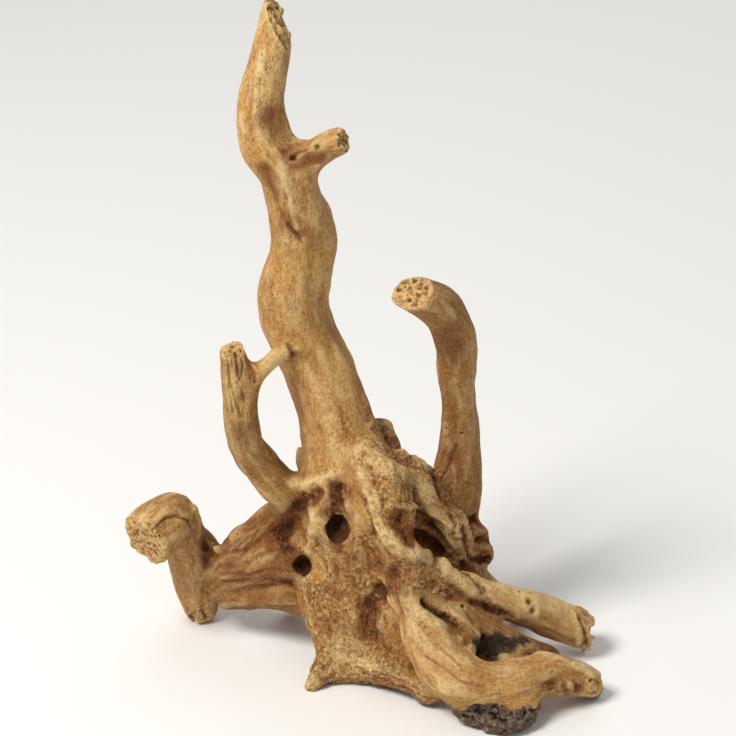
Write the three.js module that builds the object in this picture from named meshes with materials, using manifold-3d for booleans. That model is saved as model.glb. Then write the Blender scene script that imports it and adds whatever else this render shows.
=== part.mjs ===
// A piece of mopani wood: the weathered root of a small tree, bleached and sandblasted clean.
// One crooked trunk rises from a flared root crown. A hooked branch and a forked twig stand beside it, a
// thick arm runs out to a hammer-headed stump on the left, and five roots spread over the ground.
//
// The wood grew as one piece, so it is one solid. Its shape is a distance field: every limb is a chain of
// stations with a radius, neighbouring limbs melt into each other over a fillet, and hollows are pressed in.
// A net of quads is drawn over that field. Saw cuts, bored holes and the flat feet are then cut out of it.
//
// Millimetres. +X is right, +Y is away from the viewer, +Z is up, and the wood stands on Z = 0.
import * as THREE from "three";
import { mergeVertices } from "three/addons/utils/BufferGeometryUtils.js";
import Module from "manifold-3d";

// Driving sizes
const CELL = 5.6; // spacing of the net over the surface
const STEPS_PER_STATION = 4; // straight steps that each stretch between two stations is divided into
const LUMP_HEIGHT = 0.7; // gentle unevenness of the whole surface
const SHORTEST_EDGE = 0.6;
const HOLLOW_LIP = 5; // roundness of a hollow's rim
const BORE_SIDES = 14;
const BORE_START = 14; // how far in front of its mouth a bore's tool starts
const BORE_TAPER = 0.8; // width of a bore at its end, as a share of its mouth
const GROUND_SIZE = 600; // side of the block that levels the feet
const TO_MIDDLE = [2.2, -10.9, 0]; // brings the middle of the wood's box over the origin
const WOOD = new THREE.Color().setRGB(0.62, 0.43, 0.24, THREE.SRGBColorSpace);

// Each limb: stations [x, y, z, radius], the fillet where it leaves the wood before it, and its flutes.
// Flutes are folds of the grain: how many go round the limb, how deep they are as a share of the radius, and
// how many times they turn round it from end to end.
const LIMBS = {
  hub_upper: { fillet: 0, stations: [[-8, 8, 92, 24], [0, 8, 72, 26]] },
  hub_middle: { fillet: 12, stations: [[0, 8, 72, 26], [5, 6, 48, 26]] },
  hub_lower: { fillet: 12, stations: [[-9, 2, 43, 20], [-4, 0, 22, 20], [4, -6, 10, 14]] },
  trunk: {
    fillet: 14,
    flutes: [5, 0.05, 0.6],
    stations: [
      [-8, 6, 99, 24], [-14, 12, 125, 20], [-19, 16, 146, 18], [-27, 20, 166, 17.6],
      [-37, 21, 189, 17.6], [-38, 20, 205, 17.2], [-33, 15, 229, 15.4], [-36, 10, 249, 13.6],
      [-39, 5, 271, 13.4], [-50, 2, 292, 12.6], [-52, 4, 306, 11.4], [-49, 8, 325, 9.8],
      [-45, 12, 339, 9], [-44, 16, 354, 7],
    ],
  },
  stub: {
    fillet: 6,
    flutes: [3, 0.06, 0],
    stations: [[-37, 2, 274, 9.7], [-28, -3, 284, 8.2], [-18, -7, 292, 7], [-4, -11, 300, 6.4]],
  },
  stub_rib: {
    fillet: 4,
    stations: [[-33, -6, 280, 5.8], [-31, -4, 267, 6.3], [-29, 0, 252, 6.8], [-27, 6, 238, 6.9]],
  },
  trunk_bulge: { fillet: 8, stations: [[-28, 14, 248, 9], [-26, 16, 234, 9], [-27, 18, 221, 8]] },
  twig: {
    fillet: 6,
    flutes: [4, 0.06, 0.3],
    stations: [
      [-41, 6, 96, 10.4], [-52, 3, 112, 9.8], [-61, -1, 127, 9], [-64, -5, 145, 8.6],
      [-64, -6, 163, 8.6], [-66, -5, 176, 7.6], [-68, -3, 188, 7],
    ],
  },
  twig_fork: {
    fillet: 4,
    stations: [[-60, -6, 158, 5], [-55, -6, 170, 4.6], [-47, -2, 177, 4.4], [-36, 4, 180, 4.2]],
  },
  hook: {
    fillet: 7,
    flutes: [4, 0.05, 0.5],
    stations: [
      [44, 24, 77, 13], [46, 27, 93, 13], [47, 30, 111, 11.2], [47, 30, 130, 9.8],
      [46, 28, 148, 9.2], [45, 22, 170, 10.2], [42, 14, 187.6, 11], [35.6, 5, 202.4, 10.8],
      [25.6, -4, 212.4, 9.8], [11, -14, 219.6, 9.2],
    ],
  },
  arm_top: {
    fillet: 8,
    stations: [
      [-26, 8, 92, 10.6], [-40, 12, 83, 9.3], [-56, 18, 68, 8.9], [-68, 26, 53, 9], [-79, 34, 39, 8],
    ],
  },
  arm_mid: {
    fillet: 8,
    stations: [[-20, 8, 60, 14], [-41, 14, 55, 12], [-64, 24, 43, 9.4], [-79, 34, 32, 8.6]],
  },
  arm_low: {
    fillet: 7,
    stations: [[-17, 6, 32, 13], [-36, 12, 33, 9], [-56, 22, 29, 7.4], [-76, 32, 22, 7]],
  },
  arm_web: { fillet: 8, stations: [[-36, 12, 72, 8], [-52, 18, 56, 7]] },
  stump: {
    fillet: 5,
    flutes: [5, 0.05, 0.3],
    stations: [
      [-90, 46, 6, 9.8], [-92, 46, 20, 11.4], [-95, 44, 37, 11.6], [-98, 40, 53, 11.8],
      [-101, 35, 65, 13], [-106, 26, 71, 14.4], [-119, 11, 63, 14.6],
    ],
  },
  stump_spur: { fillet: 3, stations: [[-82, 40, 35, 5.4], [-83, 42, 45, 4.8], [-84, 44, 53, 3.8]] },
  plate: { fillet: 8, stations: [[-22, 0, 46, 12], [-19, -8, 26, 11.4], [-16, -14, 9, 9.4]] },
  spur_root: { fillet: 5, stations: [[-17, -14, 12, 8.3], [-24, -20, 6, 6.4], [-30, -27, 1, 4.6]] },
  front_rim: {
    fillet: 7,
    stations: [[-16, -13, 7, 7.3], [1, -19, 8, 8.3], [19, -28, 12, 9.2], [34, -42, 10, 8.6]],
  },
  ridge_a: {
    fillet: 7,
    stations: [
      [2, -6, 125, 8.1], [11, -14, 112, 10.1], [15, -22, 97, 9.1], [17, -26, 79, 9.1], [19, -30, 61, 8.6],
    ],
  },
  ridge_b: {
    fillet: 6,
    stations: [[14, 2, 114, 9.2], [29, 0, 101, 8.7], [41, 0, 88, 7.7], [47, 2, 72, 7.2]],
  },
  ridge_c: {
    fillet: 6,
    stations: [[19, -24, 75, 7.6], [32, -22, 67, 7.6], [44, -18, 59, 7.7], [55, -14, 49, 7.2]],
  },
  web_high: { fillet: 7, stations: [[16, 10, 84, 15], [38, 12, 64, 14], [52, 10, 46, 10]] },
  web_low: {
    fillet: 7,
    stations: [[14, -8, 42, 16], [38, -12, 29, 12], [62, -24, 18, 9], [80, -28, 13, 6]],
  },
  web_front: { fillet: 8, stations: [[2, -14, 34, 12], [14, -24, 20, 12], [30, -34, 16, 10]] },
  root_front: {
    fillet: 6,
    flutes: [4, 0.06, 0.4],
    stations: [
      [16, -28, 60, 8.6], [23, -34, 49, 10.1], [31, -44, 37, 12.1], [42, -53, 25, 13.6],
      [59, -58, 20, 12.6], [77, -52, 21, 11.6], [93, -43, 19, 11], [109, -36, 12, 9.6], [118, -33, 5, 6.8],
    ],
  },
  root_upper: {
    fillet: 5,
    flutes: [3, 0.06, 0.3],
    stations: [
      [42, -16, 57, 7.7], [55, -12, 48, 8.4], [69, -8, 42, 9], [84, -2, 33, 10.2], [100, 5, 22, 10.4],
      [112, 10, 15, 10.6], [124, 14, 10, 10.6],
    ],
  },
  root_thin: {
    fillet: 4,
    stations: [
      [43, -20, 48, 6.1], [56, -22, 37, 6.2], [70, -20, 28, 5.9], [84, -15, 19, 5.4], [97, -9, 9, 4.9],
    ],
  },
  root_stub: { fillet: 4, stations: [[33, -26, 50, 6.1], [43, -32, 43, 6.4], [54, -39, 34, 6.8]] },
  rear_right: {
    fillet: 6,
    stations: [
      [46, 20, 50, 10.5], [58, 26, 33, 9], [68, 32, 20, 8], [80, 40, 10, 7.5], [90, 47, 5, 7],
    ],
  },
  burl_high: { fillet: 3, stations: [[50, 20, 68, 7], [58, 22, 64, 6.8]] },
  burl_low: { fillet: 2, stations: [[52, 20, 56, 6.8], [61, 22, 53, 6.4]] },
  fin_top: { fillet: 5, stations: [[2, 22, 120, 8.2], [7, 25, 123, 7.2], [8, 26, 125, 6.2]] },
  fin_side: { fillet: 4, stations: [[6, 20, 109, 9.3], [14, 24, 115, 5.7]] },
  fin_low: { fillet: 4, stations: [[17, 16, 100, 8.3], [25, 18, 106, 6.2]] },
  fin_end: { fillet: 4, stations: [[27, 16, 95, 7.2], [31, 18, 102, 5.2]] },
  back_spur: { fillet: 3, stations: [[-29, 22, 85, 5.7], [-33, 26, 98, 4.2], [-35, 28, 111, 3.4]] },
  rear_root: { fillet: 8, stations: [[6, 30, 45, 18], [2, 50, 26, 13], [-2, 70, 13, 10], [-4, 88, 6, 8]] },
  rear_rib: { fillet: 8, stations: [[-20, 30, 100, 9], [-12, 36, 74, 10], [-2, 42, 50, 10]] },
  rear_knee: { fillet: 8, stations: [[-16, 22, 50, 14], [-30, 36, 28, 10], [-42, 50, 10, 8]] },
  bark: { fillet: 3, stations: [[48, -58, 8, 6.4], [59, -62, 6, 8], [70, -65, 7, 9.2], [81, -61, 11, 7]] },
};

// Hollows that rot and sand have worn into the wood, as stations [x, y, z, radius] of what is missing.
const HOLLOWS = {
  over_the_oval_hole: [[-15, -25, 106, 4], [-16, -26, 92, 6]],
  beside_the_round_hole: [[-46, 4, 78, 4], [-44, -6, 62, 6]],
  under_the_fork: [[14, -44, 62, 4], [8, -36, 44, 7], [-2, -34, 26, 6]],
  below_the_ridge: [[30, -16, 78, 6], [40, -12, 66, 7]],
  behind_the_front_root: [[34, -24, 40, 5], [48, -32, 26, 8], [62, -36, 22, 6]],
  behind_the_ridge: [[-2, 38, 92, 7], [10, 44, 74, 8]],
  under_the_hook: [[30, 44, 62, 8], [40, 48, 44, 8]],
};

// Saw cuts and breaks: a point on the new face, the way it looks, and the size of what is taken away.
const CUTS = {
  trunk_top: { at: [-39, 14, 347], facing: [0.82, -0.25, 0.5], width: 30, depth: 30 },
  stub_end: { at: [-9, -10, 297], facing: [0.88, -0.2, 0.42], width: 24, depth: 30 },
  twig_end: { at: [-68, -4, 184], facing: [-0.1, -0.25, 0.96], width: 24, depth: 30 },
  hook_end: { at: [22, -7, 216], facing: [-0.33, -0.64, 0.69], width: 44, depth: 30 },
  stump_face: { at: [-115, 12, 65], facing: [-0.6, -0.74, -0.28], width: 60, depth: 30 },
  root_end: { at: [118, 11, 13], facing: [0.97, 0.2, -0.1], width: 34, depth: 30 },
  root_stub_end: { at: [55, -40, 33], facing: [0.75, -0.52, -0.4], width: 14, depth: 7 },
};

// Holes bored by beetles: the mouth, half the width and height, and how deep they go.
const BORES = {
  oval_hole: { mouth: [-16, -19, 90], heading: [0.05, 0.93, -0.36], half: [5.2, 7.8], depth: 24 },
  round_hole: { mouth: [-34, -2, 59], heading: [0.15, 0.93, -0.34], half: [4.7, 4.9], depth: 20 },
};

// One limb as a chain of straight steps, each with a radius and two directions across it to count angles
// from.
function stepsOf({ stations, flutes }) {
  const centres = stations.map(([x, y, z]) => new THREE.Vector3(x, y, z));
  const line = new THREE.CatmullRomCurve3(centres, false, "centripetal");
  const width = new THREE.SplineCurve(stations.map((s, i) => new THREE.Vector2(i, s[3])));
  const count = (stations.length - 1) * STEPS_PER_STATION;
  const steps = [];
  let across = new THREE.Vector3(1, 0, 0);
  for (let i = 0; i < count; i++) {
    const from = line.getPoint(i / count);
    const along = line.getPoint((i + 1) / count).sub(from);
    const length2 = along.lengthSq();
    const heading = along.clone().normalize();
    across = across.clone().addScaledVector(heading, -across.dot(heading)).normalize();
    const beside = heading.clone().cross(across);
    const turn = (2 * Math.PI * flutes[2] * i) / count;
    steps.push({
      from, along, length2, across, beside, turn,
      r0: width.getPoint(i / count).y,
      r1: width.getPoint((i + 1) / count).y,
    });
  }
  return steps;
}

function prepared({ stations, fillet, flutes = [0, 0, 0] }) {
  const box = new THREE.Box3();
  for (const [x, y, z, r] of stations) {
    box.expandByPoint(new THREE.Vector3(x - r, y - r, z - r));
    box.expandByPoint(new THREE.Vector3(x + r, y + r, z + r));
  }
  return { fillet, flutes, steps: stepsOf({ stations, flutes }), box };
}

const limbs = Object.values(LIMBS).map(prepared);
const hollows = Object.values(HOLLOWS).map((stations) => prepared({ stations, fillet: HOLLOW_LIP }));

// Distance from a point to one limb's surface: under 0 inside.
function limbDistance(limb, x, y, z) {
  let best = Infinity;
  const [folds, depth] = limb.flutes;
  for (const s of limb.steps) {
    const px = x - s.from.x;
    const py = y - s.from.y;
    const pz = z - s.from.z;
    const t = Math.min(1, Math.max(0, (px * s.along.x + py * s.along.y + pz * s.along.z) / s.length2));
    const qx = px - t * s.along.x;
    const qy = py - t * s.along.y;
    const qz = pz - t * s.along.z;
    let radius = s.r0 + t * (s.r1 - s.r0);
    if (folds) {
      const a = qx * s.across.x + qy * s.across.y + qz * s.across.z;
      const b = qx * s.beside.x + qy * s.beside.y + qz * s.beside.z;
      radius *= 1 + depth * Math.cos(folds * Math.atan2(b, a) + s.turn * folds);
    }
    best = Math.min(best, Math.hypot(qx, qy, qz) - radius);
  }
  return best;
}

// The smaller of two distances, rounded off over the fillet where they meet.
function melt(a, b, fillet) {
  const h = fillet > 0 ? Math.max(fillet - Math.abs(a - b), 0) / fillet : 0;
  return Math.min(a, b) - (h * h * fillet) / 4;
}

// Slow waves along x, y and z that bend each other, so that no two lumps are alike: -1 to 1.
function lump(x, y, z) {
  const u = x / 7.1 + 1.7 * Math.sin(z / 17);
  const v = y / 6.3 + 1.1 * Math.sin(x / 13);
  const w = z / 9.7 + 2;
  return Math.sin(u) * Math.sin(v) * Math.sin(w);
}

function gapToBox({ min, max }, x, y, z) {
  const dx = Math.max(min.x - x, 0, x - max.x);
  const dy = Math.max(min.y - y, 0, y - max.y);
  const dz = Math.max(min.z - z, 0, z - max.z);
  return Math.hypot(dx, dy, dz);
}

// Distance from a point to the surface of the whole root.
function woodDistance(x, y, z) {
  let d = Infinity;
  for (const limb of limbs) {
    if (gapToBox(limb.box, x, y, z) > d + limb.fillet) continue;
    const own = limbDistance(limb, x, y, z);
    d = d === Infinity ? own : melt(d, own, limb.fillet);
  }
  for (const hollow of hollows) {
    if (gapToBox(hollow.box, x, y, z) > hollow.fillet - d) continue;
    d = -melt(-d, limbDistance(hollow, x, y, z), hollow.fillet);
  }
  return d + LUMP_HEIGHT * lump(x, y, z);
}

// The eight corners of a cell, as steps along x, y and z: bit 0, 1 and 2 of the corner's number.
const CORNERS = [0, 1, 2, 3, 4, 5, 6, 7].map((c) => [c & 1, (c >> 1) & 1, c >> 2]);
const CELL_EDGES = [0, 1, 2].flatMap((axis) =>
  CORNERS.flatMap((step, c) => (step[axis] ? [] : [{ from: c, to: c + (1 << axis), axis }])),
);
const FACE_DIAGONALS = [0, 1, 2].flatMap((axis) => {
  const [u, w] = [1 << ((axis + 1) % 3), 1 << ((axis + 2) % 3)];
  return [0, 1 << axis].map((c) => [c, c + u, c + u + w, c + w]);
});

// Which sheets of the surface pass through a cell. Corners inside the wood belong together along the cell's
// edges, corners outside it across a face too, and each sheet lies between one inside and one outside group.
function sheetsIn(inside) {
  const group = CORNERS.map((_, c) => c);
  const join = (a, b) => {
    const [from, to] = [group[a], group[b]];
    for (let c = 0; c < 8; c++) if (group[c] === from) group[c] = to;
  };
  for (const { from, to } of CELL_EDGES) if (inside[from] === inside[to]) join(from, to);
  for (const [a, b, c, d] of FACE_DIAGONALS) {
    if (inside[a] && inside[c] && !inside[b] && !inside[d]) join(b, d);
    if (inside[b] && inside[d] && !inside[a] && !inside[c]) join(a, c);
  }
  const sheets = new Map();
  for (const edge of CELL_EDGES) {
    if (inside[edge.from] === inside[edge.to]) continue;
    const [a, b] = inside[edge.from] ? [edge.from, edge.to] : [edge.to, edge.from];
    const name = 8 * group[a] + group[b];
    sheets.set(name, [...(sheets.get(name) ?? []), edge]);
  }
  return sheets.values();
}

// Moves a point of the net down the slope of the field until it lies on the surface.
const SETTLE_TURNS = 3;
const SLOPE_STEP = 0.5; // how far apart the field is read for its slope
const LEAST_STEEPNESS = 0.25; // keeps a point in a crease, where the field is flat, from being thrown far
function settle(distance, p) {
  for (let turn = 0; turn < SETTLE_TURNS; turn++) {
    const d = distance(...p);
    const slope = [0, 1, 2].map((axis) => {
      const q = [...p];
      q[axis] += SLOPE_STEP;
      return (distance(...q) - d) / SLOPE_STEP;
    });
    const steepness = Math.max(slope[0] ** 2 + slope[1] ** 2 + slope[2] ** 2, LEAST_STEEPNESS);
    const move = Math.max(-CELL / 3, Math.min(CELL / 3, d)) / steepness;
    for (let axis = 0; axis < 3; axis++) p[axis] -= move * slope[axis];
  }
}

// The net: in each cell one vertex for every sheet of the surface that passes through it, moved onto the
// surface, and one quad across each grid edge that the surface cuts.
function netOver(distance, box) {
  const size = box.getSize(new THREE.Vector3());
  const n = [size.x, size.y, size.z].map((s) => Math.ceil(s / CELL) + 1);
  const at = (i, j, k) => i + n[0] * (j + n[1] * k);
  const values = new Float64Array(n[0] * n[1] * n[2]);
  for (let k = 0; k < n[2]; k++)
    for (let j = 0; j < n[1]; j++)
      for (let i = 0; i < n[0]; i++)
        values[at(i, j, k)] = distance(box.min.x + i * CELL, box.min.y + j * CELL, box.min.z + k * CELL);

  const vertexAt = new Map();
  const edgeName = (cell, corner, axis) => (8 * cell + corner) * 3 + axis;
  const points = [];
  for (let k = 0; k < n[2] - 1; k++)
    for (let j = 0; j < n[1] - 1; j++)
      for (let i = 0; i < n[0] - 1; i++) {
        const v = CORNERS.map(([a, b, c]) => values[at(i + a, j + b, k + c)]);
        const inside = v.map((d) => d < 0);
        if (inside.every((side) => side === inside[0])) continue;
        for (const sheet of sheetsIn(inside)) {
          const middle = [i, j, k];
          for (const { from, to, axis } of sheet) {
            CORNERS[from].forEach((step, side) => (middle[side] += step / sheet.length));
            middle[axis] += v[from] / (v[from] - v[to]) / sheet.length;
            vertexAt.set(edgeName(at(i, j, k), from, axis), points.length);
          }
          points.push(middle.map((m, side) => box.min.getComponent(side) + CELL * m));
        }
      }
  for (const p of points) settle(distance, p);

  const faces = [];
  const addQuad = (a, b, c, d) => {
    const gap = (p, q) => Math.hypot(...points[p].map((x, axis) => x - points[q][axis]));
    if (gap(a, c) < gap(b, d)) faces.push(a, b, c, a, c, d);
    else faces.push(b, c, d, b, d, a);
  };
  const strides = [1, n[0], n[0] * n[1]];
  for (let k = 1; k < n[2] - 1; k++)
    for (let j = 1; j < n[1] - 1; j++)
      for (let i = 1; i < n[0] - 1; i++)
        for (let axis = 0; axis < 3; axis++) {
          const here = at(i, j, k);
          const inside = values[here] < 0;
          if (inside === values[here + strides[axis]] < 0) continue;
          const [u, w] = [(axis + 1) % 3, (axis + 2) % 3];
          const ring = [[0, 0], [1, 0], [1, 1], [0, 1]].map(([du, dw]) =>
            vertexAt.get(edgeName(here - du * strides[u] - dw * strides[w], (du << u) + (dw << w), axis)),
          );
          addQuad(...(inside ? ring : ring.reverse()));
        }
  return { points, faces };
}

const wasm = await Module();
wasm.setup();

function solidOf(points, faces) {
  const vertProperties = new Float32Array(points);
  const triVerts = new Uint32Array(faces);
  return new wasm.Manifold(new wasm.Mesh({ numProp: 3, vertProperties, triVerts }));
}

// A closed three.js geometry as a solid.
const SAME_POINT = 1e-4;
function solidOfGeometry(geometry) {
  const plain = geometry.clone();
  plain.deleteAttribute("normal");
  plain.deleteAttribute("uv");
  const merged = mergeVertices(plain, SAME_POINT);
  return solidOf(merged.attributes.position.array, merged.index.array);
}

// A geometry built round the Z axis, turned so that Z points along a heading, and moved to a place.
function aim(geometry, heading, place) {
  const up = new THREE.Vector3(0, 0, 1);
  const turn = new THREE.Quaternion().setFromUnitVectors(up, new THREE.Vector3(...heading).normalize());
  return geometry.applyQuaternion(turn).translate(...place);
}

const reach = new THREE.Box3();
for (const limb of limbs) reach.union(limb.box);
reach.expandByScalar(2.5 * CELL);
const net = netOver(woodDistance, reach);
let wood = solidOf(net.points.flat(), net.faces);

for (const { at, facing, width, depth } of Object.values(CUTS)) {
  const waste = new THREE.BoxGeometry(width, width, depth).translate(0, 0, depth / 2);
  wood = wood.subtract(solidOfGeometry(aim(waste, facing, at)));
}

for (const { mouth, heading, half, depth } of Object.values(BORES)) {
  const drill = new THREE.CylinderGeometry(1, BORE_TAPER, depth + BORE_START, BORE_SIDES);
  drill.rotateX(-Math.PI / 2).scale(half[0], half[1], 1).translate(0, 0, (depth - BORE_START) / 2);
  wood = wood.subtract(solidOfGeometry(aim(drill, heading, mouth)));
}

const ground = new THREE.BoxGeometry(GROUND_SIZE, GROUND_SIZE, GROUND_SIZE);
wood = wood.subtract(solidOfGeometry(ground.translate(0, 0, -GROUND_SIZE / 2)));

// A flat list of numbers in threes.
function threes(list) {
  return Array.from({ length: list.length / 3 }, (_, i) => [...list.slice(3 * i, 3 * i + 3)]);
}

// Pulls together the ends of every edge that the cuts left shorter than SHORTEST_EDGE, where that keeps the
// skin whole: the two ends may share only the two points beside their edge.
function joinShortEdges({ vertProperties, triVerts }) {
  const points = threes(vertProperties);
  const faces = threes(triVerts);
  const around = points.map(() => new Set());
  faces.forEach((face, i) => face.forEach((p) => around[p].add(i)));
  const beside = (p) => new Set([...around[p]].flatMap((i) => faces[i]).filter((q) => q !== p));
  for (let i = 0; i < faces.length; i++)
    for (let side = 0; side < 3 && faces[i]; side++) {
      const [kept, lost] = [faces[i][side], faces[i][(side + 1) % 3]];
      if (Math.hypot(...points[kept].map((x, axis) => x - points[lost][axis])) > SHORTEST_EDGE) continue;
      const shared = beside(kept).intersection(beside(lost));
      if (shared.size !== 2) continue;
      for (const j of [...around[lost]]) {
        if (faces[j].includes(kept)) {
          for (const p of faces[j]) around[p].delete(j);
          faces[j] = null;
        } else {
          faces[j] = faces[j].map((p) => (p === lost ? kept : p));
          around[kept].add(j);
        }
      }
    }
  return { points, faces: faces.filter(Boolean).flat() };
}

const skin = joinShortEdges(wood.getMesh());
const geometry = new THREE.BufferGeometry()
  .setAttribute("position", new THREE.Float32BufferAttribute(skin.points.flat(), 3))
  .setIndex(skin.faces)
  .translate(...TO_MIDDLE);
geometry.computeVertexNormals();

const finish = new THREE.MeshStandardMaterial({ color: WOOD, roughness: 0.85, metalness: 0 });
const piece = new THREE.Mesh(geometry, finish);
piece.name = "mopani_wood";
const root = new THREE.Group();
root.add(piece);

export default root;
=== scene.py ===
# %% [markdown]
# # A piece of mopani wood
# Mopani is a small, very hard tree. Its dug-out root crown is dried, and sand is blown over it until the
# bark and the soft rot are gone, which leaves a golden tan piece with red-brown hollows. The solid model
# gives the shape of the whole root. This lesson gives it its skin: the grain that flows along each limb,
# the pores, the rot hollows with their gritty floors, the splintered ends and a last scrap of dark bark.

# %% Load the fixed frame
import math

import bpy
import numpy as np
from mathutils import Matrix, Vector
from mathutils.bvhtree import BVHTree


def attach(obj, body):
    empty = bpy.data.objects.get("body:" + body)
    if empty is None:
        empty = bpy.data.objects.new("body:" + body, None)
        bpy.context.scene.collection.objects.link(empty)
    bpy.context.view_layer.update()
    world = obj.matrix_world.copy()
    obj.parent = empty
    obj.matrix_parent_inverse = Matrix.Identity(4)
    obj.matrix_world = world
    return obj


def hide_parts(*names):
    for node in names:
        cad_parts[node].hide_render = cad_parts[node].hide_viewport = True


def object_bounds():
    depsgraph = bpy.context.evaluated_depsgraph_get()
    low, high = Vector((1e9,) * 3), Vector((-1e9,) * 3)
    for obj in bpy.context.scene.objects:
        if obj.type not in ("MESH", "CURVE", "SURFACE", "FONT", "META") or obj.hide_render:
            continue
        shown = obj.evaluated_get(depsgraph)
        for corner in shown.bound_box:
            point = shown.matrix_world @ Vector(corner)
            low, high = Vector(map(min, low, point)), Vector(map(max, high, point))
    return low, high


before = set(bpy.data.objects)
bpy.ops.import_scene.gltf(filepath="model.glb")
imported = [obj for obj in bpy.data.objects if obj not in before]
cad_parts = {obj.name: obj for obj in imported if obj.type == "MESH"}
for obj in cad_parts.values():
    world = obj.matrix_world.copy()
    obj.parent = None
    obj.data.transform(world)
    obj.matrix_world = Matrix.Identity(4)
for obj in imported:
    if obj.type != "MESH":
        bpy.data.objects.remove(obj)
cad_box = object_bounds()
MM = 0.001
print("solid model, mm:", [[round(x / MM, 1) for x in corner] for corner in cad_box])

# %% [markdown]
# The photograph looks down on the wood by 25 degrees, from 1.4 m. At that distance a 137 mm lens fills
# the square frame with half a millimetre of wood in each pixel. The camera comes first, because the later
# cells use it to put a knot or a pit where the photograph shows it.

# %% Camera
FRAME_PIXELS = 736
MM_PER_PIXEL = 0.5
CAMERA_DISTANCE = 1.4
CAMERA_DOWN = math.radians(25)
SENSOR = 36.0
AIM = Vector((2.2, -10.9, 171)) * MM  # what the middle of the picture shows

camera_data = bpy.data.cameras.new("camera")
camera_data.sensor_width = SENSOR
camera_data.lens = SENSOR * CAMERA_DISTANCE / (FRAME_PIXELS * MM_PER_PIXEL * MM)
camera = bpy.data.objects.new("camera", camera_data)
view_up = Vector((0, math.sin(CAMERA_DOWN), math.cos(CAMERA_DOWN)))
view_back = Vector((0, -math.cos(CAMERA_DOWN), math.sin(CAMERA_DOWN)))
turn = Matrix((Vector((1, 0, 0)), view_up, view_back)).transposed()
camera.matrix_world = Matrix.Translation(AIM + CAMERA_DISTANCE * view_back) @ turn.to_4x4()
bpy.context.scene.collection.objects.link(camera)
bpy.context.scene.camera = camera
print("lens, mm:", round(camera_data.lens, 1))

# %% [markdown]
# The solid has facets of 5 to 6 mm, too few for wood. A subdivision would keep them as soft dents, so the
# skin is drawn anew: the Remesh modifier lays an even net over it, fine enough to carve in. The net is
# then worked on as plain arrays of points, because carving thousands of marks one by one with brushes or
# textures would be slow.

# %% A fine net over the solid
NET = 0.8 * MM
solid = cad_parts["mopani_wood"]


def applied(thing, kind, **settings):
    """The mesh of an object after one modifier of a kind."""
    modifier = thing.modifiers.new(kind.lower(), kind)
    for name, value in settings.items():
        setattr(modifier, name, value)
    mesh = bpy.data.meshes.new_from_object(thing.evaluated_get(bpy.context.evaluated_depsgraph_get()))
    thing.modifiers.remove(modifier)
    return mesh


wood = bpy.data.objects.new("carved_wood", solid.data.copy())
bpy.context.scene.collection.objects.link(wood)
wood.data = applied(wood, "REMESH", mode="VOXEL", voxel_size=NET)
print("net:", len(wood.data.vertices), "points")

# %% [markdown]
# Every mark below needs to know a point's neighbours. This class keeps them once, sorted, so that a mean
# over the neighbours of all points is a single call. Diagonal neighbours count too, so that nothing
# favours the net's rows.

# %% Points and their neighbours
SIDES = ([0, 1], [1, 2], [2, 3], [3, 0], [0, 2], [1, 3])  # a quad's four edges and its two diagonals
TINY = 1e-12  # keeps a division from meeting a 0


def column(mesh, name, kind, width):
    """One property of a mesh's points or corners as an array, with width numbers in each row."""
    items = getattr(mesh, name)
    values = np.empty(len(items) * width, dtype=np.float64 if kind == "co" else np.int32)
    items.foreach_get(kind, values)
    return values.reshape(-1, width) if width > 1 else values


def unit(arrows):
    """Each arrow brought to a length of 1."""
    return arrows / np.maximum(np.linalg.norm(arrows, axis=1), TINY)[:, None]


class Skin:
    """The net's points, its quads, and each pair of neighbours in both directions."""

    def __init__(self, mesh):
        self.points = column(mesh, "vertices", "co", 3)
        corners = column(mesh, "loops", "vertex_index", 1)
        self.quads = corners.reshape(-1, 4)
        pairs = np.concatenate([self.quads[:, side] for side in SIDES])
        pairs = np.unique(np.sort(pairs, axis=1), axis=0)
        pairs = np.concatenate([pairs, pairs[:, ::-1]])
        pairs = pairs[np.argsort(pairs[:, 0], kind="stable")]
        self.here, self.there = pairs[:, 0], pairs[:, 1]
        self.starts = np.searchsorted(self.here, np.arange(len(self.points)))
        self.count = np.diff(np.append(self.starts, len(self.here)))

    def mean(self, values, times=1, weights=None):
        """Each point's value mixed with the mean of its neighbours', a number of times."""
        flat = values.ndim == 1
        values = values[:, None] if flat else values
        total = self.count[:, None] if weights is None else np.add.reduceat(weights, self.starts)[:, None]
        for _ in range(times):
            around = values[self.there] if weights is None else values[self.there] * weights[:, None]
            values = 0.5 * values + 0.5 * np.add.reduceat(around, self.starts) / total
        return values[:, 0] if flat else values

    def normals(self):
        """Which way the skin faces at each point."""
        a, b, c, d = (self.points[self.quads[:, k]] for k in range(4))
        flat = np.cross(c - a, d - b)
        out = np.zeros_like(self.points)
        for k in range(4):
            for axis in range(3):
                out[:, axis] += np.bincount(self.quads[:, k], flat[:, axis], len(out))
        return unit(out)


skin = Skin(wood.data)
print("pairs of neighbours:", len(skin.here))

# %% [markdown]
# Wood grain follows the limbs, and grit, furrows and dullness belong to some limbs and not to others. So
# the routes of the limbs are repeated here from the solid model, in millimetres, with the radius last.

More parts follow.
